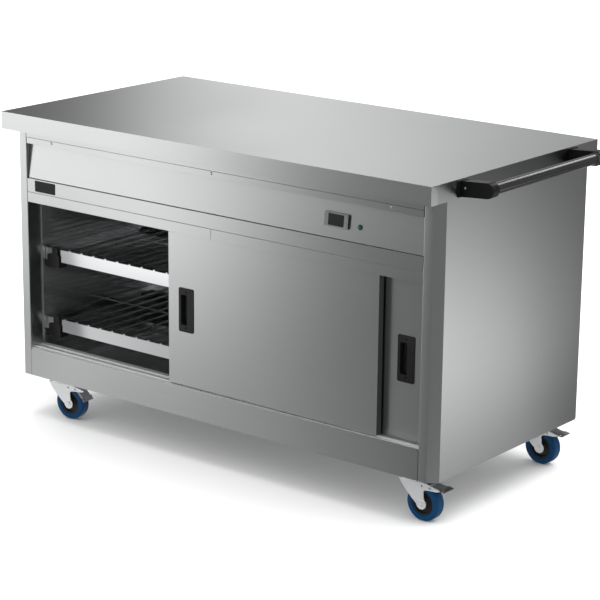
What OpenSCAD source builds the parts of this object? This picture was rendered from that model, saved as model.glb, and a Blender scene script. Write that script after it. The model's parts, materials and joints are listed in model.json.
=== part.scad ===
// Mobile heated serving cupboard with sliding doors, two wire shelves,
// a push handle at one end and four braked swivel castors.
// Millimetres, +Z up, front of the cupboard at -Y, push handle at +X.

/* [Cabinet] */
// Overall width of the worktop
worktop_w = 1500; // [1400:10:1700]
// Overall depth of the worktop
worktop_d = 785; // [770:5:830]
// Height of the worktop surface above the floor
worktop_z = 920; // [900:5:960]
// Height of the folded edge of the worktop
worktop_edge = 50; // [45:1:52]
// Sheet thickness of the outer panels
sheet = 1.5; // [1.2:0.1:1.8]

/* [Doors] */
// How far the front sliding door stands open to the right of the closed place
door_left_open = 538; // [0:1:670]
// Thickness of a sliding door
door_t = 20; // [19:0.5:20]
// Radius of the rollers under the doors
roller_r = 10; // [8:0.5:10]

/* [Shelves] */
// Height of the top of the lower shelf rail
shelf_low_z = 298; // [280:1:310]
// Height of the top of the upper shelf rail
shelf_high_z = 509; // [480:1:520]
// Pitch of the shelf wires
wire_pitch = 47; // [40:1:60]
// Diameter of the shelf wires
wire_d = 6.4; // [5:0.2:7]

/* [Push handle] */
// Distance of the handle bar from the end of the worktop
handle_reach = 80; // [70:1:95]
// Diameter of the handle bar
handle_d = 30; // [26:1:32]

/* [Castors] */
// Swivel angle of the front left castor
front_left_swivel = 5; // [-60:1:60]
// Outside radius of the tyre
wheel_r = 50; // [48:0.5:50]

/* [Hidden] */
$fn = 64;

t = sheet;
W2 = worktop_w / 2;
nose_r = handle_d / 2 + 5;
handle_out = handle_reach + nose_r;
ox = -(handle_out - 0.4) / 2;         // the handle sticks out at one end only
zt = worktop_z;
zu = zt - worktop_edge;               // underside of the worktop
zb = 130;                             // underside of the cabinet
yf = -worktop_d / 2 + 46.5;           // front plane
yb = worktop_d / 2 - 48.5;            // back plane
xi = W2 - 51.4;                       // edge of the front opening
xc = W2 - 24;                         // start of the corner chamfer
ch = 24;
z_rail = zu - 42.5;                   // bottom of the top rail
z_fas = z_rail - 102.5;               // bottom of the control fascia
z_line = z_fas - 40.2;                // joint line in the header
z_open = z_line - 29.8;               // top of the door opening
z_plinth = 213.5;
z_floor = z_plinth + 1.5;
z_ridge = z_floor + 4;                // running height of the tracks
door_z0 = z_ridge + 2;
door_z1 = z_open + 31;
door_w = xi + 21.4;
yd1 = yf + 6;                         // face of the front door
yd2 = yf + 31;                        // face of the rear door
y_lin = yf + 52;                      // front edge of the liner
y_back = yb - 74;                     // inside face of the liner back
xl = xi - 4;                          // inside faces of the liner sides
z_ceil = z_open + 45;
dl_x = -xi + 0.6 + door_left_open;    // left edge of the front door
dr_x = xi - 0.6 - door_w;             // left edge of the rear door
fas_a = atan(10 / 102.5);
fas_l = sqrt(10 * 10 + 102.5 * 102.5);
xf = xi - 0.7;                        // ends of the front strips, with a joint to the posts
ctl_x = 419.5;
ctl_s = 50.5;
lamp_x = 494;
lamp_s = 42.4;
fan_z = 460;
tube_x = W2 + handle_reach;
tube_z = zt - nose_r;
shelf_y0 = y_lin + 11;
shelf_y1 = y_back - 55;
castors = [[640, yf + 66], [640, yb - 54], [-640, yf + 66], [-640, yb - 54]];
bolt_xy = [[-40, -31], [40, -31], [-40, 31], [40, 31]];
screw_x = [-598, 0, 598];

module fr() { translate([ox, 0, 0]) children(); }
module box(a, b) { translate(a) cube([b[0] - a[0], b[1] - a[1], b[2] - a[2]]); }
module rbox(w, h, r) {
    // rounded rectangle, centred
    union() {
        square([w - 2 * r, h], center = true);
        square([w, h - 2 * r], center = true);
        for (x = [-1, 1], y = [-1, 1]) translate([x * (w / 2 - r), y * (h / 2 - r)]) circle(r);
    }
}
// local frame of the sloping fascia: x along, y into the cabinet, z up the slope
module fas() { translate([0, yf + 5, z_fas]) rotate([-fas_a, 0, 0]) children(); }
// cylinder pointing along +Y
module cyly(r, h) { rotate([-90, 0, 0]) cylinder(r = r, h = h); }

// ---------- cabinet ----------
module worktop() {
    color([0.72, 0.74, 0.74]) fr() union() {
        difference() {
            box([-W2, -worktop_d / 2, zu], [W2, worktop_d / 2, zt]);
            box([-W2 + t, -worktop_d / 2 + t, zu + t], [W2 - t, worktop_d / 2 - t, zt - t]);
            box([-W2 + 22, -worktop_d / 2 + 22, zu - 1], [W2 - 22, worktop_d / 2 - 22, zu + t + 1]);
        }
        for (x = [-W2 / 2, 0, W2 / 2])
            box([x - 15, -worktop_d / 2 + t, zu + 6], [x - 15 + t, worktop_d / 2 - t, zt - t]);
        for (s = [-1, 1]) translate([s > 0 ? W2 : -W2 - 0.4, -worktop_d / 2, zu])
            rotate([90, 0, 90]) linear_extrude(0.4) union() {
                square([28, worktop_edge - 28]);
                intersection() {
                    translate([0, worktop_edge - 28]) circle(28);
                    translate([0, worktop_edge - 28]) square([28, 28]);
                }
            }
    }
}
module top_rail() {
    color([0.68, 0.70, 0.70]) fr() difference() {
        union() {
            box([-xf + 0.9, yf, z_rail], [xf - 0.9, yf + t, z_rail + 17]);
            box([-xf, yf, z_rail + 18], [xf, yf + t, zu]);
            for (z = [15.5, 18]) box([-xf + 0.9, yf + 1, z_rail + z], [xf - 0.9, yf + 5, z_rail + z + 1.5]);
            box([-xf + 0.9, yf + 3.8, z_rail + 15.5], [xf - 0.9, yf + 5, z_rail + 19.5]);
            box([-xf + 0.9, yf, z_rail], [xf - 0.9, yf + 20, z_rail + t]);
            box([-xf, yf + 0.5, zu - t], [xf, yf + 20, zu]);
        }
        for (x = screw_x) translate([x, yf - 1, z_rail + 10.5]) cyly(2.5, 4);
    }
}
module side_shape() {
    k = t * tan(22.5);
    difference() {
        polygon([[xi, yf + 52], [xi, yf], [xc, yf], [W2, yf + ch], [W2, yb], [W2 - 25, yb],
            [W2 - 25, yb - t], [W2 - t, yb - t], [W2 - t, yf + ch + k], [xc - k, yf + t],
            [xi + t, yf + t], [xi + t, yf + 52]]);
        difference() {
            translate([xi - 1, yf - 1]) square([3.2, 3.2]);
            translate([xi + 2.2, yf + 2.2]) circle(2.2);
        }
    }
}
module side_panel(s) {
    // folded sheet, with the lower rear corner rounded off
    difference() {
        translate([0, 0, zb]) linear_extrude(zu - zb) mirror([s > 0 ? 0 : 1, 0]) side_shape();
        difference() {
            box([s > 0 ? W2 - 27 : -W2 - 1, yb - 6, zb - 1], [s > 0 ? W2 + 1 : -W2 + 27, yb + 1, zb + 6]);
            translate([-W2 - 2, yb - 6, zb + 6]) rotate([0, 90, 0]) cylinder(r = 6, h = 2 * W2 + 4);
        }
    }
}
module side_panel_right() { color([0.74, 0.76, 0.76]) fr() side_panel(1); }
module side_panel_left() { color([0.74, 0.76, 0.76]) fr() side_panel(-1); }
module back_panel() {
    color([0.70, 0.72, 0.72]) fr() difference() {
        box([-W2 + 25, yb - t, zb], [W2 - 25, yb, zu]);
        for (i = [0:11]) box([-66 + i * 12, yb - 3, 420], [-62 + i * 12, yb + 1, 500]);
        translate([-560, yb - 3, 250]) cyly(11, 5);
    }
}
module base_pan() {
    color([0.62, 0.64, 0.64]) fr() difference() {
        union() {
            box([-xc + 2, yf + t, zb], [xc - 2, yb - t, zb + t]);
            for (y = [yf + 66, yb - 54]) for (s = [-1, 1])
                box([-xc + 2, y + s * 46 - 0.75, zb], [xc - 2, y + s * 46 + 0.75, zb + 32]);
        }
        for (s = [-1, 1]) box([s > 0 ? xi - 0.3 : -xi - t - 0.3, yf, zb - 1],
            [s > 0 ? xi + t + 0.3 : -xi + 0.3, yf + 52.3, zb + 34]);
        for (c = castors) translate([c[0], c[1], zb - 1]) for (b = bolt_xy)
            translate([b[0], b[1], 0]) cylinder(r = 4.2, h = 4);
    }
}
module front_plinth() {
    color([0.66, 0.68, 0.68]) fr() difference() {
        union() {
            box([-xf, yf, zb], [xf, yf + t, z_plinth]);
            box([-xf + 6, yf, z_plinth - t], [xf - 6, yf + 22, z_plinth]);
        }
        for (s = [-1, 1]) difference() {
            box([s > 0 ? xf - 7 : -xf - 1, yf - 1, z_plinth - 7], [s > 0 ? xf + 1 : -xf + 7, yf + t + 0.02, z_plinth + 1]);
            translate([s * (xf - 7), yf - 2, z_plinth - 7]) cyly(7, t + 4);
        }
    }
}
module door_header() {
    color([0.68, 0.70, 0.70]) fr() union() {
        box([-xf, yf, z_line + 0.6], [xf, yf + t, z_fas]);
        box([-xf, yf, z_fas - t], [xf, yf + 14, z_fas]);
    }
}
module track_cover() {
    color([0.68, 0.70, 0.70]) fr() difference() {
        union() {
            box([-xf, yf, z_open], [xf, yf + t, z_line - 0.6]);
            box([-xf, yf, z_open], [xf, yf + 3, z_open + t]);
        }
        box([-2.4, yf - 1, z_open - 1], [-1.6, yf + 1, z_line + 1]);
    }
}
module top_track() {
    color([0.60, 0.62, 0.62]) fr() difference() {
        union() {
        box([-xi, yf + t, door_z1 + 10], [xi, y_lin - 0.1, door_z1 + 12]);
        box([-xl + 0.3, y_lin - 0.2, door_z1 + 10], [xl - 0.3, y_lin + 2.5, door_z1 + 12]);
        box([-xi, yf + t, z_open + 2], [xi, yf + 3.5, door_z1 + 11]);
        box([-xi, yd1 + door_t + 1.75, z_open + 19], [xi, yd2 - 1.75, door_z1 + 11]);
        box([-xl + 0.3, yd2 + door_t + 1.5, z_open + 19], [xl - 0.3, y_lin + 2.5, door_z1 + 11]);
        }
        box([-xi - 1, yf, z_line - 1.6], [xi + 1, yf + t + 1.5, z_line + 1.6]);
    }
}
module bottom_track() {
    color([0.72, 0.74, 0.74]) fr() union() {
        box([-xi, yf + 3, z_floor], [xi, y_lin - 0.1, z_floor + 1]);
        box([-xl + 0.3, y_lin - 0.2, z_floor], [xl - 0.3, y_lin + 11, z_floor + 1]);
        for (y = [yd1 + door_t / 2, yd2 + door_t / 2])
            box([-xi, y - 1.5, z_floor], [xi, y + 1.5, z_ridge]);
    }
}
module control_fascia() {
    color([0.70, 0.72, 0.72]) fr() fas() difference() {
        union() {
            box([-xi + 1, 0, 1.4], [xi - 1, t, fas_l - 0.8]);
            for (s = [-1, 1]) {
                box([s > 0 ? xi - 1 - t : -xi + 1, 0, 3], [s > 0 ? xi - 1 : -xi + 1 + t, 25, fas_l - 5]);
                box([s > 0 ? xi - 1 - t : -xi, 8, 3], [s > 0 ? xi : -xi + 1 + t, 10, fas_l - 5]);
            }
            box([-xi + 1, 0, fas_l - 0.8 - t], [xi - 1, 16, fas_l - 0.8]);
        }
        box([ctl_x - 35.5, -1, ctl_s - 14.5], [ctl_x + 35.5, t + 1, ctl_s + 14.5]);
        translate([lamp_x, -1, lamp_s]) cyly(5, t + 2);
    }
}
module badge_plate() {
    color([0.08, 0.08, 0.08]) fr() translate([-627, yf, z_line + 21]) rotate([90, 0, 0])
        linear_extrude(1) rbox(80, 32, 2);
}
module controller_case() {
    color([0.70, 0.71, 0.72]) fr() fas() translate([ctl_x, 0, ctl_s]) difference() {
        union() {
            rotate([90, 0, 0]) linear_extrude(6) rbox(77.5, 38.5, 3);
            box([-35.3, 0, -14.3], [35.3, 58, 14.3]);
        }
        box([-25.5, -8, -15.5], [25.5, -4, 15.5]);
        for (z = [8.5, -8.5]) box([28, -8, z - 4.2], [36, -1.6, z + 4.2]);
        for (z = [-9, 0, 9]) translate([-32, -8, z]) cyly(1.5, 2.5);
    }
}
module display_lens() {
    color([0.05, 0.05, 0.06]) fr() fas() translate([ctl_x, 0, ctl_s])
        box([-25.3, -5.6, -15.3], [25.3, -4, 15.3]);
}
module key(dz) {
    color([0.78, 0.79, 0.80]) fr() fas() translate([ctl_x, 0, ctl_s + dz])
        box([28.2, -7, -4], [35.8, -2.8, 4]);
}
module key_up() { key(8.5); }
module key_down() { key(-8.5); }
module indicator_lamp() {
    color([0.05, 0.35, 0.20]) fr() fas() translate([lamp_x, 0, lamp_s]) union() {
        translate([0, -1.6, 0]) cyly(7.2, 1.6);
        translate([0, 0, 0]) cyly(4.9, 22);
        intersection() {
            translate([0, 1.5, 0]) sphere(7);
            translate([0, -6, 0]) cyly(5.6, 5);
        }
    }
}
module pan_head(r, h, shank_r, shank_l) {
    // head at y < 0, shank along +Y
    difference() {
        union() {
            intersection() {
                translate([0, (r * r - h * h) / (2 * h), 0]) sphere((r * r + h * h) / (2 * h));
                rotate([90, 0, 0]) cylinder(r = r + 1, h = h + 1);
            }
            cyly(shank_r, shank_l);
        }
        for (a = [0, 90]) rotate([0, a, 0])
            box([-r * 0.55, -h - 1, -r * 0.11], [r * 0.55, -h * 0.45, r * 0.11]);
    }
}
arm_a = [-268, 245];                    // outer and inner faces of the two handle arms
module fixing_screws() {
    color([0.75, 0.76, 0.77]) fr() {
        for (x = screw_x) translate([x, yf, z_rail + 10.5]) pan_head(4.6, 2.4, 2.4, 12);
        for (k = [0, 1]) translate([W2 + 15, arm_a[k] + k * 28, zt - 22])
            rotate([0, 0, k * 180]) pan_head(3.4, 1.6, 2.4, 12);
    }
}
// ---------- liner and heating ----------
module liner_side(s) {
    color([0.58, 0.60, 0.60]) fr()
        box([s > 0 ? xl : -xi, y_lin, z_floor], [s > 0 ? xi : -xl, y_back, z_ceil]);
}
module liner_left() { liner_side(-1); }
module liner_right() { liner_side(1); }
module liner_back() {
    color([0.58, 0.60, 0.60]) fr() difference() {
        box([-xi, y_back, z_floor], [xi, y_back + t, z_ceil + t]);
        translate([0, y_back - 1, fan_z]) cyly(12, 4);
        for (x = [-20, 20]) translate([x, y_back - 1, fan_z - 98]) cyly(5.6, 4);
    }
}
module liner_ceiling() {
    color([0.58, 0.60, 0.60]) fr()
        box([-xi, y_lin + 2.5, z_ceil], [xi, y_back, z_ceil + t]);
}
module liner_floor() {
    color([0.60, 0.62, 0.62]) fr()
        box([-xi, yf + t, z_plinth], [xi, y_back + t, z_floor]);
}
module shelf_clips() {
    color([0.10, 0.10, 0.11]) fr() for (z = [shelf_high_z, shelf_low_z], s = [-1, 1]) {
        x0 = s > 0 ? xl - 60 : -xl + 12.5;
        x1 = s > 0 ? xl - 60 : -xl;
        box([x0, shelf_y0 - 5, z - 56], [x0 + 47.5, shelf_y0 - 2, z - 18]);
        xh = s > 0 ? xl - 54 : -xl + 32;                // tongue up through the notch in the rail
        box([xh, shelf_y0 - 5, z - 19], [xh + 22, shelf_y0 - 2, z + 4]);
        box([x1, shelf_y0 - 3, z - 56], [x1 + 60, shelf_y0 + 28, z - 37.3]);
        box([x1, shelf_y1 - 28, z - 56], [x1 + 60, shelf_y1 + 3, z - 37.3]);
    }
}
module heater_cover() {
    color([0.55, 0.57, 0.57]) fr() difference() {
        box([-130, y_back - 46, fan_z - 130], [130, y_back, fan_z + 130]);
        box([-130 + t, y_back - 46 + t, fan_z - 130 + t], [130 - t, y_back + 1, fan_z + 130 - t]);
        for (i = [-5:5], j = [-1, 0, 1])
            box([i * 20 - 5, y_back - 47, fan_z + j * 72 - 30], [i * 20 + 5, y_back - 44, fan_z + j * 72 + 30]);
    }
}
module heating_element() {
    color([0.30, 0.30, 0.31]) fr() union() {
        translate([0, y_back - 20, fan_z]) rotate([90, 0, 0])
            rotate_extrude() translate([100, 0]) circle(4);
        for (x = [-20, 20]) translate([x, y_back - 27, fan_z - 98]) cyly(5.5, 50);
    }
}
module fan_motor() {
    color([0.35, 0.36, 0.38]) fr() translate([0, y_back + t, fan_z]) union() {
        cyly(40, 50);
        translate([0, -28, 0]) cyly(4, 29);
        for (s = [-1, 1]) box([s * 48 - 12, 0, -10], [s * 48 + 12, 3, 10]);
    }
}
module fan_impeller() {
    color([0.66, 0.67, 0.68]) fr() translate([0, y_back - 34, fan_z]) difference() {
        union() {
            cyly(75, 2);
            cyly(12, 26);
            for (i = [0:11]) rotate([0, i * 30, 0]) box([34, 1, -0.75], [74, 24, 0.75]);
        }
        translate([0, 5, 0]) cyly(4.05, 30);
    }
}
// ---------- handle ----------
module arm(y0) {
    difference() {
        union() {
            translate([W2, y0 + 28, 0]) rotate([90, 0, 0]) linear_extrude(28) union() {
                translate([handle_reach, tube_z]) circle(nose_r);
                polygon([[2, zt - 46], [2, zt - 5], [handle_reach - 2, zt - 0.05],
                    [handle_reach + 1.5, tube_z - nose_r + 0.06]]);
            }
            box([W2, y0 - 0, zt - 46], [W2 + 5, y0 + 28, zt - 4]);
        }
    }
}
module handle_brackets() {
    color([0.08, 0.08, 0.09]) fr() {
        difference() {
            union() { arm(arm_a[0]); box([W2, arm_a[0] - 9, zt - 46], [W2 + 5, arm_a[0] + 28, zt - 4]); }
            translate([tube_x, arm_a[0] + 6, tube_z]) cyly(handle_d / 2 + 0.03, 30);
            translate([W2 + 15, arm_a[0] - 1, zt - 22]) cyly(2.5, 14);
        }
        difference() {
            union() { arm(arm_a[1]); box([W2, arm_a[1], zt - 46], [W2 + 5, arm_a[1] + 37, zt - 4]); }
            translate([tube_x, arm_a[1] - 8, tube_z]) cyly(handle_d / 2 + 0.03, 30);
            translate([W2 + 15, arm_a[1] + 15, zt - 22]) cyly(2.5, 14);
        }
    }
}
module handle_tube() {
    color([0.09, 0.09, 0.10]) fr() translate([tube_x, arm_a[0] + 8, tube_z]) difference() {
        union() {
            cyly(handle_d / 2, arm_a[1] - arm_a[0] + 12);
            for (y = [20.05, arm_a[1] - arm_a[0] - 11.05]) translate([0, y, 0]) cyly(handle_d / 2 + 2, 3);
        }
        translate([0, -1, 0]) cyly(handle_d / 2 - 2, arm_a[1] - arm_a[0] + 14);
    }
}
// ---------- castors ----------
module castor_plates() {
    color([0.72, 0.73, 0.75]) fr() for (c = castors) translate([c[0], c[1], 0]) difference() {
        union() {
            box([-52, -42, 127], [52, 42, 130]);
            translate([0, 0, 120.3]) cylinder(r = 30, h = 7);
            translate([0, 0, 100.6]) cylinder(r = 6, h = 22);
            translate([0, 0, 100]) cylinder(r = 9, h = 4.6, $fn = 6);
        }
        for (b = bolt_xy) translate([b[0], b[1], 120]) cylinder(r = 4.2, h = 12);
    }
}
module castor_bolts() {
    color([0.66, 0.67, 0.69]) fr() for (c = castors) for (b = bolt_xy)
        translate([c[0] + b[0], c[1] + b[1], 0]) union() {
            translate([0, 0, 121.6]) cylinder(r = 7.2, h = 5.4, $fn = 6);
            translate([0, 0, 126]) cylinder(r = 4, h = 14);
            translate([0, 0, zb + t]) cylinder(r = 7.2, h = 6, $fn = 6);
        }
}
module cast(i, a) { fr() translate([castors[i][0], castors[i][1], 0]) rotate([0, 0, a]) children(); }
module leg() {
    rotate([90, 0, 0]) linear_extrude(2.5) difference() {
        union() {
            polygon([[-32, 108], [-31, 105], [-19, 88.6], [-2, 70.6], [14.5, 55.5], [28.2, 44.4], [50.8, 42.8],
                [48, 62], [46, 80], [47.5, 86.5], [53, 89.6], [68, 91.2], [84, 91.8], [96, 94.6],
                [98, 96.4], [96.5, 98.4], [74, 103.2], [53, 108]]);
            translate([40, 49]) circle(15);
        }
        translate([40, 50]) circle(4);
        translate([66, 97.5]) circle(3.05);
        translate([40, 99]) circle(2.6);
    }
}
module fork(i, a) {
    color([0.80, 0.81, 0.82]) cast(i, a) {
        difference() {
            union() {
                for (y = [-18.5, 21]) translate([0, y, 0]) leg();
                box([-32, -21, 105], [40, 21, 108]);
                translate([0, 0, 107]) cylinder(r = 29, h = 13);
            }
            translate([0, 0, 100]) cylinder(r = 6.05, h = 30);
        }
        translate([40, 0, 50]) union() {
            translate([0, -24.5, 0]) cyly(4, 50);
            translate([0, -24.5, 0]) rotate([-90, 0, 0]) cylinder(r = 6.2, h = 3.5, $fn = 6);
            translate([0, 21, 0]) rotate([-90, 0, 0]) cylinder(r = 6.2, h = 4.5, $fn = 6);
        }
    }
}
module wheel(i, a) {
    color([0.10, 0.10, 0.11]) cast(i, a) translate([40, 0, 50]) rotate([-90, 0, 0])
        rotate_extrude() polygon([[4.05, -17], [11, -17], [11, -9], [14, -6], [27, -6], [29, -14],
        [33, -14], [33, 14], [29, 14], [27, 6], [14, 6], [11, 9], [11, 17], [4.05, 17]]);
}
module tyre(i, a) {
    color([0.05, 0.32, 0.68]) cast(i, a) translate([40, 0, 50]) rotate([-90, 0, 0])
        rotate_extrude() union() {
            polygon([[33, -14], [34, -16], [wheel_r - 6, -16], [wheel_r - 6, 16], [34, 16], [33, 14]]);
            translate([wheel_r - 7, -10]) square([7, 20]);
            for (y = [-10, 10]) translate([wheel_r - 6, y]) circle(6);
        }
}
module pedal(i, a, down) {
    color([0.62, 0.63, 0.65]) cast(i, a) translate([66, 0, 97.5]) rotate([0, down, 0]) difference() {
        union() {
            translate([0, -20.8, 0]) cyly(3, 41.6);
            for (s = [-1, 1]) box([-8.5, s * 16.4 - 1.2, -2.5], [33.5, s * 16.4 + 1.2, 3]);
            box([-9, -17.7, 2.4], [34, 17.7, 4.6]);
            translate([32.5, 0, 2.5]) rotate([0, 10, 0]) box([0, -22, 0], [15, 22, 2]);
            for (x = [2, 9, 16, 23, 30]) box([x, -15, 4], [x + 2.6, 15, 5.8]);
        }
        translate([39, -14, -4]) cylinder(r = 3.2, h = 12);
    }
}
module fork_fr() { fork(0, 0); }
module fork_rr() { fork(1, 0); }
module fork_fl() { fork(2, front_left_swivel); }
module fork_rl() { fork(3, 0); }
module wheel_fr() { wheel(0, 0); }
module wheel_rr() { wheel(1, 0); }
module wheel_fl() { wheel(2, front_left_swivel); }
module wheel_rl() { wheel(3, 0); }
module tyre_fr() { tyre(0, 0); }
module tyre_rr() { tyre(1, 0); }
module tyre_fl() { tyre(2, front_left_swivel); }
module tyre_rl() { tyre(3, 0); }
module pedal_fr() { pedal(0, 0, 2); }
module pedal_rr() { pedal(1, 0, 2); }
module pedal_fl() { pedal(2, front_left_swivel, 46); }
module pedal_rl() { pedal(3, 0, 2); }
module cable_gland() {
    color([0.12, 0.12, 0.12]) fr() translate([-560, yb, 250]) difference() {
        union() {
            translate([0, -14, 0]) cyly(10.9, 15);
            cyly(15, 6);
            rotate([-90, 0, 0]) cylinder(r = 14, h = 14, $fn = 6);
            translate([0, 14, 0]) rotate([-90, 0, 0]) cylinder(r1 = 12, r2 = 8.5, h = 10);
        }
        translate([0, -16, 0]) cyly(5, 45);
    }
}
// ---------- doors ----------
module door_panel(x, y, px) {
    difference() {
        box([x, y, door_z0], [x + door_w, y + door_t, door_z1]);
        box([x + t, y + t, door_z0 - 1], [x + door_w - t, y + door_t - t, door_z1 - t]);
        translate([px, y - 1, 438]) rotate([-90, 0, 0]) linear_extrude(t + 2) rbox(45.4, 116.4, 4);
        for (k = [60, door_w - 60]) for (s = [y - 1, y + door_t - t - 0.5])
            translate([x + k, s, z_ridge + 0.3 + roller_r]) cyly(1.5, t + 1.5);
    }
}
module roller_axle(x, y) {
    translate([x, y, z_ridge + 0.3 + roller_r]) cyly(1.5, door_t);
}
module pull(px, y) {
    translate([px, y, 438]) difference() {
        union() {
            rotate([90, 0, 0]) linear_extrude(2) rbox(53, 126, 5);
            rotate([-90, 0, 0]) linear_extrude(16) rbox(45, 116, 4);
        }
        translate([-7.5, -3, 0]) rotate([-90, 0, 0]) linear_extrude(17.5) rbox(21.5, 86, 3);
        for (z = [-51, 51]) translate([0, -3, z]) cyly(1.6, 10);
        for (z = [-51, 51]) translate([0, -2.2, z]) rotate([-90, 0, 0]) cylinder(r1 = 3.6, r2 = 1.6, h = 1.8);
    }
}
dlp = dl_x + 64.5;
drp = dr_x + door_w - 66;
module door_left_panel() {
    color([0.72, 0.74, 0.74]) fr() {
        door_panel(dl_x, yd1, dlp);
        for (k = [60, door_w - 60]) roller_axle(dl_x + k, yd1);
    }
}
module door_right_panel() {
    color([0.72, 0.74, 0.74]) fr() {
        door_panel(dr_x, yd2, drp);
        for (k = [60, door_w - 60]) roller_axle(dr_x + k, yd2);
    }
}
module door_left_pull() { color([0.06, 0.06, 0.07]) fr() pull(dlp, yd1); }
module door_right_pull() { color([0.06, 0.06, 0.07]) fr() pull(drp, yd2); }
module roller(x, y) {
    color([0.85, 0.85, 0.82]) fr() translate([x, y + door_t / 2 - 4, z_ridge + 0.3 + roller_r]) difference() {
        cyly(roller_r, 8);
        translate([0, -1, 0]) cyly(1.55, 10);
    }
}
module door_left_roller_a() { roller(dl_x + 60, yd1); }
module door_left_roller_b() { roller(dl_x + door_w - 60, yd1); }
module door_right_roller_a() { roller(dr_x + 60, yd2); }
module door_right_roller_b() { roller(dr_x + door_w - 60, yd2); }
// ---------- shelves ----------
n_wire = floor((2 * xl - 20) / wire_pitch / 2);
module shelf(z, k) {
    e = xl - 1.5;
    color([0.80, 0.81, 0.82]) fr() union() {
        difference() {
            union() {
                box([-e, shelf_y0, z - 37], [e, shelf_y0 + 3, z]);
                box([-e, shelf_y0, z - 37], [e, shelf_y0 + 12, z - 34.5]);
            }
            for (s = [-1, 1]) box([s * (xl - 46.5) - 16, shelf_y0 - 1, z - 20], [s * (xl - 46.5) + 16, shelf_y0 + 4, z + 1]);
        }
        box([-e, shelf_y1 - 3, z - 37], [e, shelf_y1, z]);
        for (s = [-1, 1]) box([s > 0 ? e - 3 : -e, shelf_y0, z - 22], [s > 0 ? e : -e + 3, shelf_y1, z]);
        for (i = [-n_wire - 1:n_wire]) if (abs((i + k) * wire_pitch) < xl - 70)
            translate([(i + k) * wire_pitch, shelf_y0 - 0.6, z + 1.2]) cyly(wire_d / 2, shelf_y1 - shelf_y0 + 1.2);
        translate([-e + 1, shelf_y0 + 262, z - 4]) rotate([0, 90, 0]) cylinder(r = 2.3, h = 2 * e - 2);
    }
}
module shelf_upper() { shelf(shelf_high_z, 0.35); }
module shelf_lower() { shelf(shelf_low_z, 0.85); }

worktop();
top_rail();
side_panel_left();
side_panel_right();
back_panel();
base_pan();
front_plinth();
door_header();
track_cover();
top_track();
bottom_track();
control_fascia();
badge_plate();
controller_case();
display_lens();
indicator_lamp();
fixing_screws();
liner_left();
liner_right();
liner_back();
liner_ceiling();
liner_floor();
shelf_clips();
heater_cover();
heating_element();
fan_motor();
handle_brackets();
handle_tube();
castor_plates();
castor_bolts();
cable_gland();
fan_impeller();
key_up();
key_down();
door_left_panel();
door_left_pull();
door_left_roller_a();
door_left_roller_b();
door_right_panel();
door_right_pull();
door_right_roller_a();
door_right_roller_b();
shelf_upper();
shelf_lower();
fork_fr();
wheel_fr();
tyre_fr();
pedal_fr();
fork_rr();
wheel_rr();
tyre_rr();
pedal_rr();
fork_fl();
wheel_fl();
tyre_fl();
pedal_fl();
fork_rl();
wheel_rl();
tyre_rl();
pedal_rl();
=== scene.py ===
import json
import math

import bmesh
import bpy
from mathutils import Matrix, Vector


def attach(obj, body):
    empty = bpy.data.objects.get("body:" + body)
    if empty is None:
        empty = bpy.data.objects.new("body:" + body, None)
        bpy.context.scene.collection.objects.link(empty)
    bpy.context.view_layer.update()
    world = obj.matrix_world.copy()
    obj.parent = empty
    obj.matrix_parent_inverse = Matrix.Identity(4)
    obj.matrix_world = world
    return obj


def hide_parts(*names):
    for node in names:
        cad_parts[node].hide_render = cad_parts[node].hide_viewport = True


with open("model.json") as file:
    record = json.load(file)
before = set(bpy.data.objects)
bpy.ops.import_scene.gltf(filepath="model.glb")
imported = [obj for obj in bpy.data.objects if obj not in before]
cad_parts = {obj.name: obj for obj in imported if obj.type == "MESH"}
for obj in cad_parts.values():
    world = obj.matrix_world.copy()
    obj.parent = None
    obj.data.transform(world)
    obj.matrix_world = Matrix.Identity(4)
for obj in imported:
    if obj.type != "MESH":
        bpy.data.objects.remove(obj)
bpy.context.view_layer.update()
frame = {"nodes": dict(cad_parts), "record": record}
NODES = frame["nodes"]
BODY_OF = {n: b for b, ns in frame["record"]["behaviour"]["bodies"].items() for n in ns}
SLOT_OF = {s["node"]: s["material_slot"] for s in frame["record"]["subparts"]}
OX = -0.0498  # the worktop's middle in the shared frame
scene = bpy.context.scene


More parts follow.
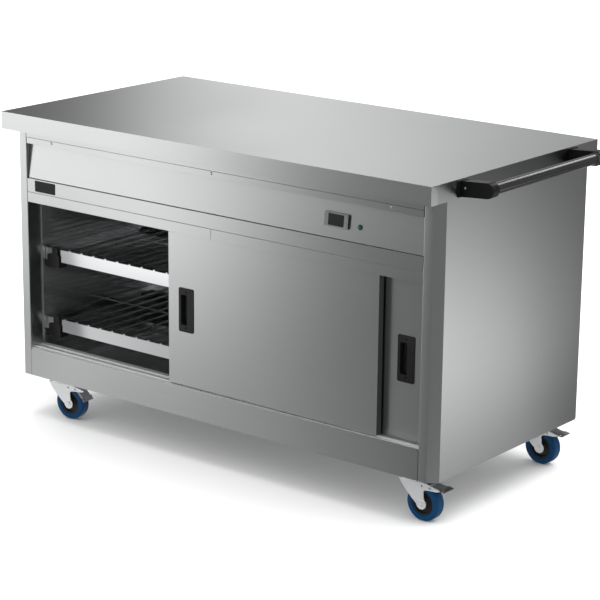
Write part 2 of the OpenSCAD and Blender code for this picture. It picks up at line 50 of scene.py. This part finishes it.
# ------------------------------------------------------------------ node helpers
class Mat:
    """A small builder for procedural materials."""

    def __init__(self, name):
        self.m = bpy.data.materials.new(name)
        self.m.use_nodes = True
        self.t = self.m.node_tree
        self.b = self.t.nodes["Principled BSDF"]
        self.tc = self.t.nodes.new("ShaderNodeTexCoord")
        self.geo = None

    def new(self, kind, **kw):
        n = self.t.nodes.new(kind)
        for k, v in kw.items():
            setattr(n, k, v)
        return n

    def link(self, a, b):
        self.t.links.new(a, b)

    def mapped(self, scale, loc=(0, 0, 0), rot=(0, 0, 0)):
        n = self.new("ShaderNodeMapping")
        n.inputs["Scale"].default_value = scale
        n.inputs["Location"].default_value = loc
        n.inputs["Rotation"].default_value = rot
        self.link(self.tc.outputs["Object"], n.inputs["Vector"])
        return n.outputs["Vector"]

    def noise(self, vec, scale=1.0, detail=3.0, rough=0.5, dist=0.0):
        n = self.new("ShaderNodeTexNoise")
        n.inputs["Scale"].default_value = scale
        n.inputs["Detail"].default_value = detail
        n.inputs["Roughness"].default_value = rough
        n.inputs["Distortion"].default_value = dist
        self.link(vec, n.inputs["Vector"])
        return n.outputs["Fac"]

    def voronoi(self, vec, scale):
        n = self.new("ShaderNodeTexVoronoi")
        n.inputs["Scale"].default_value = scale
        self.link(vec, n.inputs["Vector"])
        return n.outputs["Distance"]

    def rng(self, v, a, b, c, d, smooth=False):
        n = self.new("ShaderNodeMapRange")
        if smooth:
            n.interpolation_type = "SMOOTHSTEP"
        for i, x in zip((1, 2, 3, 4), (a, b, c, d)):
            n.inputs[i].default_value = x
        self.link(v, n.inputs[0])
        return n.outputs[0]

    def math(self, op, a, b=None):
        n = self.new("ShaderNodeMath", operation=op)
        for i, x in enumerate((a, b)):
            if x is None:
                continue
            if isinstance(x, (int, float)):
                n.inputs[i].default_value = x
            else:
                self.link(x, n.inputs[i])
        return n.outputs[0]

    def mixf(self, f, a, b):
        n = self.new("ShaderNodeMix", data_type="FLOAT")
        for s, x in ((n.inputs[0], f), (n.inputs[2], a), (n.inputs[3], b)):
            if isinstance(x, (int, float)):
                s.default_value = x
            else:
                self.link(x, s)
        return n.outputs[0]

    def mixc(self, f, a, b, mode="MIX"):
        n = self.new("ShaderNodeMix", data_type="RGBA", blend_type=mode)
        for s, x in ((n.inputs[0], f), (n.inputs[6], a), (n.inputs[7], b)):
            if isinstance(x, (int, float)):
                s.default_value = x
            elif isinstance(x, (tuple, list)):
                s.default_value = tuple(x) + (1,) * (4 - len(x))
            else:
                self.link(x, s)
        return n.outputs[2]

    def bump(self, height, strength, dist, prev=None):
        n = self.new("ShaderNodeBump")
        n.inputs["Strength"].default_value = strength
        n.inputs["Distance"].default_value = dist
        self.link(height, n.inputs["Height"])
        if prev is not None:
            self.link(prev, n.inputs["Normal"])
        return n.outputs["Normal"]

    def set(self, **kw):
        names = {"base": "Base Color", "rough": "Roughness", "metal": "Metallic", "normal": "Normal",
                 "aniso": "Anisotropic", "tangent": "Tangent", "coat": "Coat Weight",
                 "coat_rough": "Coat Roughness", "spec": "Specular IOR Level", "ior": "IOR",
                 "trans": "Transmission Weight", "emit": "Emission Color", "emit_s": "Emission Strength",
                 "sheen": "Sheen Weight", "alpha": "Alpha", "sss": "Subsurface Weight"}
        for k, v in kw.items():
            s = self.b.inputs[names[k]]
            if isinstance(v, (int, float)):
                s.default_value = v
            elif isinstance(v, (tuple, list)):
                s.default_value = tuple(v) + (1,) * (4 - len(v)) if len(s.default_value) == 4 else v
            else:
                self.link(v, s)
        return self

    def edge_wear(self, radius=0.002):
        """1 on convex edges, from the shader's own bevel normal against the true one."""
        bev = self.new("ShaderNodeBevel", samples=4)
        bev.inputs["Radius"].default_value = radius
        geo = self.new("ShaderNodeNewGeometry")
        dot = self.new("ShaderNodeVectorMath", operation="DOT_PRODUCT")
        self.link(bev.outputs["Normal"], dot.inputs[0])
        self.link(geo.outputs["Normal"], dot.inputs[1])
        return self.rng(dot.outputs["Value"], 0.75, 1.0, 1.0, 0.0)


def grain_fields(m, vertical=False):
    """Fine brushed streaks along each face: three scales of stretched noise, run along X, or along Y on end faces."""
    geo = m.new("ShaderNodeNewGeometry")
    sep = m.new("ShaderNodeSeparateXYZ")
    m.link(geo.outputs["Normal"], sep.inputs[0])
    nx = m.math("ABSOLUTE", sep.outputs["X"])
    on_end = m.rng(nx, 0.80, 0.9, 0.0, 1.0)

    def both(lo, hi, detail, loc):
        a = m.noise(m.mapped((lo, hi, hi), loc), 1.0, detail, 0.6)
        b = m.noise(m.mapped((hi, lo, hi), loc), 1.0, detail, 0.6)
        return m.mixf(on_end, a, b)

    fine = both(6.0, 2600.0, 2.0, (3.1, 0, 0))
    mid = both(2.5, 520.0, 3.0, (0, 7.7, 0))
    broad = both(0.6, 60.0, 2.0, (0, 0, 5.2))
    # the microfacets tilt across the grain, so the tangent is upright on walls and along Y on flat faces
    grain = m.new("ShaderNodeVectorMath", operation="CROSS_PRODUCT")
    grain.inputs[0].default_value = (0, 0, 1)
    m.link(geo.outputs["Normal"], grain.inputs[1])
    add = m.new("ShaderNodeVectorMath", operation="ADD")
    m.link(grain.outputs[0], add.inputs[0])
    add.inputs[1].default_value = (0.02, 0, 0)
    across = m.new("ShaderNodeVectorMath", operation="CROSS_PRODUCT")
    m.link(geo.outputs["Normal"], across.inputs[0])
    m.link(add.outputs[0], across.inputs[1])
    nor = m.new("ShaderNodeVectorMath", operation="NORMALIZE")
    m.link(across.outputs[0], nor.inputs[0])
    return fine, mid, broad, nor.outputs[0]


def steel(name, base, rough, aniso=0.75, streak=1.0, smudge=0.02, bump=0.12, seed=0.0, metal=1.0):
    """Brushed sheet: fine grain in roughness, tone and normal, with faint long drifts from the brushing belt."""
    m = Mat(name)
    fine, mid, broad, tan = grain_fields(m)
    cloud = m.noise(m.mapped((2.2, 2.2, 2.2), (seed, seed * 2, 0)), 1.0, 4.0, 0.5)
    f = m.math("ADD", m.math("MULTIPLY", fine, 0.7), m.math("MULTIPLY", mid, 0.3))
    r = m.rng(f, 0.25, 0.75, rough - 0.03 * streak, rough + 0.03 * streak)
    r = m.math("ADD", r, m.rng(cloud, 0.3, 0.7, -smudge * 0.5, smudge * 0.5))
    lo = [c * (1 - 0.035 * streak) for c in base]
    hi = [min(1, c * (1 + 0.03 * streak)) for c in base]
    col = m.mixc(m.rng(f, 0.3, 0.7, 0, 1), lo, hi)
    col = m.mixc(m.rng(broad, 0.35, 0.65, 0.0, 0.10 * streak), col, [c * 0.93 for c in base])
    nrm = m.bump(fine, bump, 0.00004)
    if name == "steel_brushed":
        # painted light on this sheet: painted shade on the front door's folded right edge face in the gap between the
        # doors, and a painted highlight on the cover strip over the worktop's corner joint
        pos = m.new("ShaderNodeSeparateXYZ")
        m.link(m.tc.outputs["Object"], pos.inputs[0])
        geo = m.new("ShaderNodeNewGeometry")
        nor = m.new("ShaderNodeSeparateXYZ")
        m.link(geo.outputs["Normal"], nor.inputs[0])
        side = m.rng(nor.outputs["X"], 0.7, 0.9, 0.0, 1.0)
        # painted shade: the door's folded edge face in the gap is darkened to 0.42 of the base
        door = m.math("MULTIPLY", side, m.rng(m.math("ABSOLUTE", m.math("SUBTRACT", pos.outputs["X"], 0.5102)), 0.003, 0.004, 1.0, 0.0))
        col = m.mixc(door, col, [c * 0.42 for c in base])
        # painted highlight: the cover strip over the worktop's corner joint is lightened to 1.22 of the base
        tab_highlight = m.math("MULTIPLY", side, m.rng(pos.outputs["X"], 0.70028, 0.70034, 0.0, 1.0))
        col = m.mixc(tab_highlight, col, [min(1.0, c * 1.22) for c in base])
        # painted shade: the worktop's end between the two handle arms is painted darker, where the handle's shade and
        # dark reflection fall
        handle_shade = m.math("MULTIPLY", m.rng(pos.outputs["Z"], 0.8702, 0.8708, 0.0, 1.0), m.rng(pos.outputs["X"], 0.6985, 0.6990, 0.0, 1.0))
        reach = m.rng(m.math("ABSOLUTE", m.math("SUBTRACT", pos.outputs["Y"], 0.0025)), 0.240, 0.2445, 1.0, 0.0)
        handle_shade = m.math("MULTIPLY", m.math("MULTIPLY", handle_shade, reach), side)
        col = m.mixc(m.math("MULTIPLY", handle_shade, 0.62), col, [c * 0.10 for c in base])
    m.set(base=col, metal=metal, rough=r, aniso=aniso, tangent=tan, normal=nrm)
    return m.m


def plastic(name, base, rough, grain=900.0, bump=0.15, depth=0.00008, scuff=0.06, coat=0.0, spec=0.5):
    m = Mat(name)
    peel = m.noise(m.mapped((grain, grain, grain)), 1.0, 2.0, 0.5)
    wide = m.noise(m.mapped((14, 14, 14), (2, 5, 1)), 1.0, 5.0, 0.6)
    scratch = m.noise(m.mapped((40, 600, 40), (0, 0, 3), (0.3, 0.2, 0.9)), 1.0, 2.0, 0.5, 0.4)
    r = m.rng(wide, 0.3, 0.7, rough - scuff * 0.6, rough + scuff)
    r = m.math("ADD", r, m.rng(scratch, 0.62, 0.78, 0.0, scuff))
    lift = [min(1.0, c * 1.5 + 0.006) for c in base]
    col = m.mixc(m.rng(wide, 0.35, 0.8, 0.0, 0.5), base, lift)
    m.set(base=col, rough=r, normal=m.bump(peel, bump, depth), coat=coat, spec=spec)
    return m.m


MATS = {}
MATS["steel_brushed"] = steel("steel_brushed", (0.62, 0.632, 0.63), 0.32, aniso=0.7, seed=0.4)
MATS["steel_back"] = steel("steel_back", (0.58, 0.592, 0.59), 0.40, aniso=0.4, streak=0.7, seed=2.2)
MATS["steel_liner"] = steel("steel_liner", (0.54, 0.55, 0.55), 0.055, aniso=0.0, streak=0.3, smudge=0.02, bump=0.02, seed=5.0, metal=0.9)
MATS["steel_track"] = steel("steel_track", (0.62, 0.63, 0.63), 0.28, aniso=0.6, seed=3.3, metal=0.55)
MATS["steel_screw"] = steel("steel_screw", (0.90, 0.91, 0.92), 0.15, aniso=0.0, streak=0.3, seed=7.0)
MATS["zinc_steel"] = steel("zinc_steel", (0.80, 0.81, 0.82), 0.27, aniso=0.0, streak=0.5, smudge=0.10, bump=0.04, seed=9.0, metal=0.6)
MATS["pedal_zinc"] = steel("pedal_zinc", (0.40, 0.41, 0.42), 0.36, aniso=0.0, streak=0.5, smudge=0.12, bump=0.05, seed=4.0)
MATS["shelf_chrome"] = steel("shelf_chrome", (0.86, 0.87, 0.88), 0.075, aniso=0.0, streak=0.15, smudge=0.02, bump=0.02, seed=6.0)
MATS["impeller_alu"] = steel("impeller_alu", (0.68, 0.69, 0.70), 0.35, aniso=0.1, seed=8.0)
MATS["plate_black"] = plastic("plate_black", (0.006, 0.006, 0.0065), 0.30, spec=0.18)
MATS["key_silver"] = plastic("key_silver", (0.13, 0.135, 0.135), 0.42, grain=1500)
MATS["display_window"] = plastic("display_window", (0.013, 0.0135, 0.014), 0.14, bump=0.03, spec=0.25)
MATS["clip_black"] = plastic("clip_black", (0.008, 0.008, 0.009), 0.4, spec=0.3)
MATS["motor_grey"] = plastic("motor_grey", (0.22, 0.23, 0.25), 0.45)
MATS["handle_black"] = plastic("handle_black", (0.003, 0.0032, 0.0034), 0.38, grain=1300, bump=0.3, spec=0.25)
MATS["gland_black"] = plastic("gland_black", (0.015, 0.015, 0.015), 0.45)
MATS["pull_black"] = plastic("pull_black", (0.006, 0.0062, 0.0065), 0.40, grain=1600, bump=0.25, spec=0.35)
MATS["roller_nylon"] = plastic("roller_nylon", (0.72, 0.72, 0.67), 0.45)
MATS["hub_black"] = plastic("hub_black", (0.012, 0.0125, 0.0125), 0.42, grain=700, bump=0.2, spec=0.35)


def element_material():
    m = Mat("element_sheath")
    n = m.noise(m.mapped((60, 60, 60)), 1.0, 5.0, 0.6)
    col = m.mixc(m.rng(n, 0.3, 0.7, 0, 1), (0.10, 0.085, 0.075), (0.20, 0.17, 0.15))
    m.set(base=col, metal=0.7, rough=m.rng(n, 0.2, 0.8, 0.4, 0.65), normal=m.bump(n, 0.2, 0.0002))
    return m.m


def lamp_material():
    m = Mat("lamp_green")
    n = m.noise(m.mapped((220, 220, 220)), 1.0, 3.0, 0.5)
    col = m.mixc(m.rng(n, 0.3, 0.7, 0, 1), (0.006, 0.034, 0.024), (0.009, 0.050, 0.034))
    m.set(base=col, rough=m.rng(n, 0.2, 0.8, 0.12, 0.22), coat=0.5, normal=m.bump(n, 0.05, 0.0002))
    return m.m


def tube_material():
    """Black gloss coating, with the two collars at the ends left in satin grey."""
    m = Mat("handle_gloss")
    peel = m.noise(m.mapped((500, 500, 500)), 1.0, 2.0, 0.5)
    wide = m.noise(m.mapped((14, 5, 14), (2, 5, 1)), 1.0, 5.0, 0.6)
    pos = m.new("ShaderNodeSeparateXYZ")
    m.link(m.tc.outputs["Object"], pos.inputs[0])
    dx = m.math("SUBTRACT", pos.outputs["X"], 0.7802)
    dz = m.math("SUBTRACT", pos.outputs["Z"], 0.900)
    rad = m.math("SQRT", m.math("ADD", m.math("MULTIPLY", dx, dx), m.math("MULTIPLY", dz, dz)))
    collar = m.rng(rad, 0.0152, 0.0156, 0.0, 1.0)
    col = m.mixc(m.rng(wide, 0.35, 0.8, 0.0, 0.5), (0.010, 0.0103, 0.0105), (0.020, 0.0205, 0.021))
    col = m.mixc(collar, col, (0.085, 0.087, 0.088))
    r = m.math("ADD", m.rng(wide, 0.3, 0.7, 0.17, 0.24), m.math("MULTIPLY", collar, 0.18))
    m.set(base=col, rough=r, spec=0.6, normal=m.bump(peel, 0.05, 0.00008))
    return m.m


def tyre_material():
    m = Mat("tyre_blue")
    fine = m.noise(m.mapped((700, 700, 700)), 1.0, 3.0, 0.55)
    dust = m.noise(m.mapped((38, 38, 38), (1, 4, 2)), 1.0, 6.0, 0.68)
    col = m.mixc(m.rng(dust, 0.35, 0.75, 0, 1), (0.0008, 0.031, 0.088), (0.0014, 0.042, 0.118))
    col = m.mixc(m.rng(dust, 0.68, 0.95, 0.0, 0.15), col, (0.10, 0.12, 0.14))
    m.set(base=col, rough=m.rng(fine, 0.3, 0.7, 0.30, 0.42), normal=m.bump(fine, 0.2, 0.00012), spec=0.16)
    return m.m


def case_material():
    """Silver front with pressed marks; the body's sides are black."""
    m = Mat("case_silver")
    peel = m.noise(m.mapped((1500, 1500, 1500)), 1.0, 2.0, 0.5)
    wide = m.noise(m.mapped((30, 30, 30), (2, 5, 1)), 1.0, 4.0, 0.6)
    marks = m.noise(m.mapped((330, 40, 240), (4, 0, 2)), 1.0, 2.0, 0.6, 0.3)
    front = m.mixc(m.rng(marks, 0.60, 0.68, 0.0, 0.55), (0.125, 0.128, 0.128), (0.05, 0.051, 0.051))
    geo = m.new("ShaderNodeNewGeometry")
    nor = m.new("ShaderNodeSeparateXYZ")
    m.link(geo.outputs["Normal"], nor.inputs[0])
    facing = m.rng(nor.outputs["Y"], -0.9, -0.6, 1.0, 0.0)
    m.set(base=m.mixc(facing, (0.014, 0.014, 0.015), front), rough=m.rng(wide, 0.3, 0.7, 0.34, 0.46),
          normal=m.bump(peel, 0.15, 0.00008))
    return m.m


MATS["case_silver"] = case_material()
MATS["element_sheath"] = element_material()
MATS["lamp_green"] = lamp_material()
MATS["handle_gloss"] = tube_material()
MATS["tyre_blue"] = tyre_material()

# ------------------------------------------------------------------ the CAD nodes, with rounded edges
BEVEL = {  # edge radius in metres, segments
    "worktop": (0.0009, 2), "top_rail": (0.0004, 2), "side_panel_left": (0.0012, 3), "side_panel_right": (0.0012, 3),
    "front_plinth": (0.0006, 2), "door_header": (0.0004, 2), "track_cover": (0.0004, 2), "control_fascia": (0.0004, 2),
    "door_left_panel": (0.0005, 2), "door_right_panel": (0.0005, 2), "badge_plate": (0.0003, 2),
    "controller_case": (0.0006, 2), "display_lens": (0.0003, 2), "handle_brackets": (0.0022, 3), "key_up": (0.0004, 2),
    "key_down": (0.0004, 2), "door_left_pull": (0.0007, 2), "door_right_pull": (0.0007, 2), "shelf_clips": (0.0006, 2),
    "shelf_upper": (0.0004, 2), "shelf_lower": (0.0004, 2), "bottom_track": (0.0004, 2), "top_track": (0.0003, 1),
    "liner_left": (0.0003, 1), "liner_right": (0.0003, 1), "heater_cover": (0.0004, 2), "castor_plates": (0.0005, 2),
    "castor_bolts": (0.0005, 2), "fixing_screws": (0.0002, 2), "cable_gland": (0.0006, 2),
}
for c in ("fr", "rr", "fl", "rl"):
    BEVEL["fork_" + c] = (0.0006, 2)
    BEVEL["wheel_" + c] = (0.0008, 2)
    BEVEL["pedal_" + c] = (0.0005, 2)


def tidy(node):
    """A visible copy of a CAD node with joined faces, a small edge radius and clean shading."""
    src = NODES[node]
    me = src.data.copy()
    o = bpy.data.objects.new(node + "_skin", me)
    scene.collection.objects.link(o)
    if me.has_custom_normals:
        bpy.context.view_layer.objects.active = o
        for x in bpy.context.selected_objects:
            x.select_set(False)
        o.select_set(True)
        bpy.ops.mesh.customdata_custom_splitnormals_clear()
        o.select_set(False)
    bm = bmesh.new()
    bm.from_mesh(me)
    bmesh.ops.remove_doubles(bm, verts=bm.verts, dist=1e-6)
    bmesh.ops.dissolve_limit(bm, angle_limit=math.radians(0.5), verts=bm.verts, edges=bm.edges)
    for f in bm.faces:
        f.smooth = True
    for e in bm.edges:
        e.smooth = not (len(e.link_faces) == 2 and e.calc_face_angle(0) > math.radians(32))
    bm.to_mesh(me)
    bm.free()
    if node in BEVEL:
        w, seg = BEVEL[node]
        mod = o.modifiers.new("edges", "BEVEL")
        mod.width, mod.segments = w, seg
        mod.limit_method, mod.angle_limit = "ANGLE", math.radians(33)
        mod.harden_normals = True
        mod.use_clamp_overlap = True
    me.materials.clear()
    me.materials.append(MATS[SLOT_OF[node]])
    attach(o, BODY_OF[node])
    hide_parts(node)
    return o


SKIN = {n: tidy(n) for n in sorted(NODES)}

# ------------------------------------------------------------------ stage, lights, camera
def plain(name, col, rough=0.9):
    m = Mat(name)
    n = m.noise(m.mapped((2, 2, 2)), 1.0, 2.0, 0.5)
    c = m.mixc(m.rng(n, 0.3, 0.7, 0, 1), [x * 0.985 for x in col], col)
    m.set(base=c, rough=rough, spec=0.1)
    return m.m


def sheet(name, half, z):
    me = bpy.data.meshes.new(name)
    me.from_pydata([(-half, -half, z), (half, -half, z), (half, half, z), (-half, half, z)], [], [(0, 1, 2, 3)])
    o = bpy.data.objects.new(name, me)
    scene.collection.objects.link(o)
    return o


class Tree:
    """Value nodes for the world and for the light card."""

    def __init__(self, tree):
        self.t = tree

    def put(self, socket, x):
        if isinstance(x, (int, float)):
            socket.default_value = x
        elif isinstance(x, tuple):
            socket.default_value = x
        else:
            self.t.links.new(x, socket)

    def m(self, op, a, b=0.0):
        n = self.t.nodes.new("ShaderNodeMath")
        n.operation = op
        self.put(n.inputs[0], a)
        self.put(n.inputs[1], b)
        return n.outputs[0]

    def step(self, v, a, b, c=0.0, d=1.0):
        n = self.t.nodes.new("ShaderNodeMapRange")
        n.interpolation_type = "SMOOTHSTEP"
        for i, x in enumerate((v, a, b, c, d)):
            self.put(n.inputs[i], x)
        return n.outputs[0]

    def mix(self, f, a, b):
        n = self.t.nodes.new("ShaderNodeMix")
        for s, x in ((n.inputs[0], f), (n.inputs[2], a), (n.inputs[3], b)):
            self.put(s, x)
        return n.outputs[0]

    def curve(self, v, pts):
        """A smooth curve through (x, y) points, as a colour ramp scaled to the points' range."""
        lo, hi = pts[0][0], pts[-1][0]
        top = max(y for _, y in pts)
        mr = self.t.nodes.new("ShaderNodeMapRange")
        self.put(mr.inputs[0], v)
        mr.inputs[1].default_value, mr.inputs[2].default_value = lo, hi
        r = self.t.nodes.new("ShaderNodeValToRGB")
        self.t.links.new(mr.outputs[0], r.inputs[0])
        el = r.color_ramp.elements
        while len(el) > 1:
            el.remove(el[-1])
        for i, (x, y) in enumerate(pts):
            e = el[0] if i == 0 else el.new((x - lo) / (hi - lo))
            e.position = (x - lo) / (hi - lo)
            e.color = (y / top, y / top, y / top, 1)
        r.color_ramp.interpolation = "EASE"
        sp = self.t.nodes.new("ShaderNodeSeparateColor")
        self.t.links.new(r.outputs[0], sp.inputs[0])
        return self.m("MULTIPLY", sp.outputs[0], top)


floor = sheet("floor", 30.0, -0.0002)
floor.data.materials.append(plain("floor_white", (0.86, 0.86, 0.86)))
floor.visible_glossy = False

# the room that the metal reflects: brightness by azimuth (atan2(y, x), degrees) and by elevation
RING = [(-180, 0.75), (-150, 1.0), (-138, 1.35), (-131.5, 1.8), (-129, 1.08), (-126.8, 0.18), (-124, 0.04), (-111, 0.05),
        (-98, 0.40), (-80, 0.50), (-67, 0.26), (-57, 0.08), (-48, 0.14), (-38, 0.26), (-20, 0.32), (0, 0.40), (40, 0.55), (50, 0.42), (57, 0.35), (61, 0.15),
        (75, 0.30), (100, 0.40), (116, 0.36), (121, 0.44), (126, 0.86), (129, 1.42), (131.8, 1.5), (133, 0.5), (134.5, 0.09),
        (145, 0.09), (165, 0.45), (180, 0.75)]
w = bpy.data.worlds.new("studio")
scene.world = w
w.use_nodes = True
w.node_tree.nodes.clear()
T = Tree(w.node_tree)
tc = T.t.nodes.new("ShaderNodeTexCoord")
sep = T.t.nodes.new("ShaderNodeSeparateXYZ")
T.t.links.new(tc.outputs["Generated"], sep.inputs[0])
az = T.m("MULTIPLY", T.m("ARCTAN2", sep.outputs["Y"], sep.outputs["X"]), 180 / math.pi)
elev = T.m("MULTIPLY", T.m("ARCSINE", sep.outputs["Z"]), 180 / math.pi)
ring = T.curve(az, RING)
value = T.mix(T.step(elev, 25.0, 50.0), ring, 0.30)
# a narrow lamp high over the far end, for the line of light along the handle bar
lamp_az = T.m("MULTIPLY", T.step(az, 76.0, 84.0), T.step(az, 106.0, 98.0))
lamp_el = T.m("MULTIPLY", T.step(elev, 27.0, 30.0), T.step(elev, 37.0, 34.0))
value = T.m("ADD", value, T.m("MULTIPLY", T.m("MULTIPLY", lamp_az, lamp_el), 6.0))
lp = T.t.nodes.new("ShaderNodeLightPath")
value = T.mix(lp.outputs["Is Diffuse Ray"], value, 1.4)
bg = T.t.nodes.new("ShaderNodeBackground")
T.t.links.new(value, bg.inputs[0])
white = T.t.nodes.new("ShaderNodeBackground")
white.inputs[0].default_value = (1, 1, 1, 1)
white.inputs[1].default_value = 1.05
mixer = T.t.nodes.new("ShaderNodeMixShader")
out = T.t.nodes.new("ShaderNodeOutputWorld")
T.t.links.new(lp.outputs["Is Camera Ray"], mixer.inputs[0])
T.t.links.new(bg.outputs[0], mixer.inputs[1])
T.t.links.new(white.outputs[0], mixer.inputs[2])
T.t.links.new(mixer.outputs[0], out.inputs[0])

# a light card on the floor that only reflections see: bright at the front left, dim under and right of the front
card = sheet("light_card", 14.0, -0.001)
card.visible_camera = card.visible_diffuse = card.visible_shadow = card.visible_transmission = False
cm = bpy.data.materials.new("light_card")
cm.use_nodes = True
cm.node_tree.nodes.clear()
K = Tree(cm.node_tree)
kt = K.t.nodes.new("ShaderNodeTexCoord")
ks = K.t.nodes.new("ShaderNodeSeparateXYZ")
K.t.links.new(kt.outputs["Object"], ks.inputs[0])
kx, ky = ks.outputs["X"], ks.outputs["Y"]
ahead = K.m("SUBTRACT", -0.35, ky)  # distance in front of the doors
face_x = K.m("ADD", kx, K.m("MULTIPLY", ahead, 0.87))  # where on the front that floor point shows
far = K.curve(face_x, [(-2.5, 1.7), (-1.2, 1.9), (-0.85, 1.65), (-0.3, 1.95), (0.0, 1.62), (0.2, 0.62), (0.5, 0.08), (1.2, 0.03), (3.0, 0.2)])
near = K.curve(face_x, [(-2.5, 0.5), (-0.9, 0.60), (-0.7, 0.64), (-0.3, 0.49), (0.03, 0.39), (0.5, 0.24), (0.72, 0.14), (1.2, 0.10), (3.0, 0.2)])
deep = K.curve(face_x, [(-2.5, 1.4), (-1.5, 1.5), (-0.5, 2.1), (0.0, 1.95), (0.3, 1.0), (1.1, 0.25), (2.1, 0.02), (3.0, 0.02)])
far = K.mix(K.step(ahead, 4.2, 6.5), far, deep)
front = K.mix(K.step(ahead, 0.6, 2.4), near, far)
# a dim patch at the far left, which the left third of the shelf rails shows
patch = K.step(K.m("ADD", face_x, K.m("MULTIPLY", K.m("SUBTRACT", ahead, 0.62), 0.15)), -0.75, -0.70, 0.42, 1.0)
within = K.m("MULTIPLY", K.step(ahead, 0.42, 0.52), K.step(ahead, 2.0, 1.6))
front = K.m("MULTIPLY", front, K.mix(within, 1.0, patch))
# straight ahead of the cupboard, which the front shows to a viewer who stands there
lift = K.m("MULTIPLY", K.step(face_x, 1.5, 2.2), K.m("MULTIPLY", K.step(kx, 1.1, 0.75), K.step(kx, -3.4, -2.4)))
front = K.m("ADD", front, K.m("MULTIPLY", lift, 0.45))
beside = K.m("SUBTRACT", kx, 0.68)  # distance out from the end panel
face_y = K.m("SUBTRACT", ky, K.m("MULTIPLY", beside, 1.5))
end = K.curve(face_y, [(-1.5, 1.0), (-0.35, 1.22), (0.0, 0.94), (0.3, 0.24), (1.0, 0.1), (3.0, 0.3)])
bump_ = K.curve(beside, [(0.0, 0.34), (0.35, 0.37), (0.8, 1.2), (1.2, 1.24), (1.9, 0.40), (2.25, 0.22), (6.0, 0.24)])
end = K.m("MULTIPLY", end, bump_)
level = K.mix(K.step(ky, -0.6, 0.1), front, 0.45)
level = K.mix(K.m("MULTIPLY", K.step(kx, 0.7, 0.9), K.step(ky, -0.9, -0.2)), level, end)
em = K.t.nodes.new("ShaderNodeEmission")
K.t.links.new(level, em.inputs[0])
ko = K.t.nodes.new("ShaderNodeOutputMaterial")
K.t.links.new(em.outputs[0], ko.inputs[0])
card.data.materials.append(cm)

sun = bpy.data.lights.new("overhead", "SUN")
sun.energy = 2.0
sun.angle = math.radians(60)
so = bpy.data.objects.new("overhead", sun)
so.rotation_euler = Vector((-0.15, -0.15, -1.0)).to_track_quat("-Z", "Y").to_euler()
so.visible_glossy = False
scene.collection.objects.link(so)

CAM_POS = Vector((3.73198 + OX, -4.68902, 2.09405))
YAW, PITCH, ROLL = math.radians(38.2567), math.radians(15.6692), math.radians(0.6047)
FOCAL = 2184.39
right = Vector((math.cos(YAW), math.sin(YAW), 0))
fwd = Vector((-math.sin(YAW) * math.cos(PITCH), math.cos(YAW) * math.cos(PITCH), -math.sin(PITCH)))
up = right.cross(fwd)
r2 = right * math.cos(ROLL) + up * math.sin(ROLL)
u2 = up * math.cos(ROLL) - right * math.sin(ROLL)
cam_data = bpy.data.cameras.new("camera")
cam_data.sensor_width = 36.0
cam_data.lens = FOCAL / 600 * 36
cam_data.clip_start, cam_data.clip_end = 0.05, 100
cam = bpy.data.objects.new("camera", cam_data)
scene.collection.objects.link(cam)
rot = Matrix((r2, u2, -fwd)).transposed().to_4x4()
cam.matrix_world = Matrix.Translation(CAM_POS) @ rot
scene.camera = cam
scene.view_settings.view_transform = "Standard"
scene.view_settings.look = "None"
scene.view_settings.exposure = 0.0
scene.view_settings.gamma = 1.0
